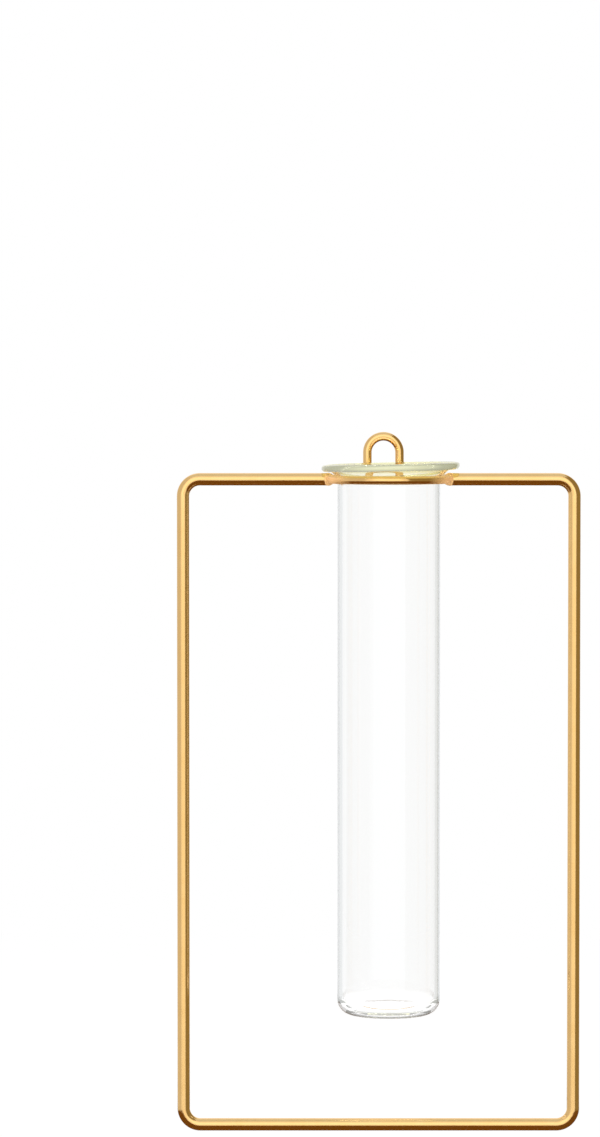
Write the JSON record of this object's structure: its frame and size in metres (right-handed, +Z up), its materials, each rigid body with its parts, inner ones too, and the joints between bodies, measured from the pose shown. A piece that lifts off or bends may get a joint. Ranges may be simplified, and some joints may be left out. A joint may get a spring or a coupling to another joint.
{
  "type": "wall mounted glass flower tube",
  "caption": "Clear flared glass tube that hangs by its lip in a wire ring at the top of a slim rectangular wire frame, with an upright wire eye behind for a wall nail.",
  "frame": {"origin": "centre of the hanging eye's round top, in the plane of its wire, where a nail passes through the eye", "axes": "+Z up, the front faces -Y, the wall is towards +Y and +X is to the right seen from the front"},
  "size_m": [0.12, 0.0443, 0.2084],
  "materials": {
    "gold_frame": "polished gold-coloured plating on drawn wire, faint lengthwise drawing marks",
    "gold_ring": "polished gold-coloured plating on drawn wire",
    "gold_eye": "polished gold-coloured plating on drawn wire",
    "gold_weld": "plated weld bead, slightly rippled and duller than the wire",
    "clear_glass": "clear glass, very faint green in the thick rim, fire-polished lip"
  },
  "bodies": {
    "holder": {"frame_wire": "gold_frame", "support_ring": "gold_ring", "hanging_eye": "gold_eye", "ring_weld_left": "gold_weld", "ring_weld_right": "gold_weld", "eye_weld_left": "gold_weld", "eye_weld_right": "gold_weld"},
    "tube": {"glass_tube": "clear_glass"}
  },
  "joints": [
    {"name": "tube_lift", "type": "slide", "parent": "holder", "child": "tube", "axis": [0, 0, 1], "range_m": [0, 0.165]}
  ]
}
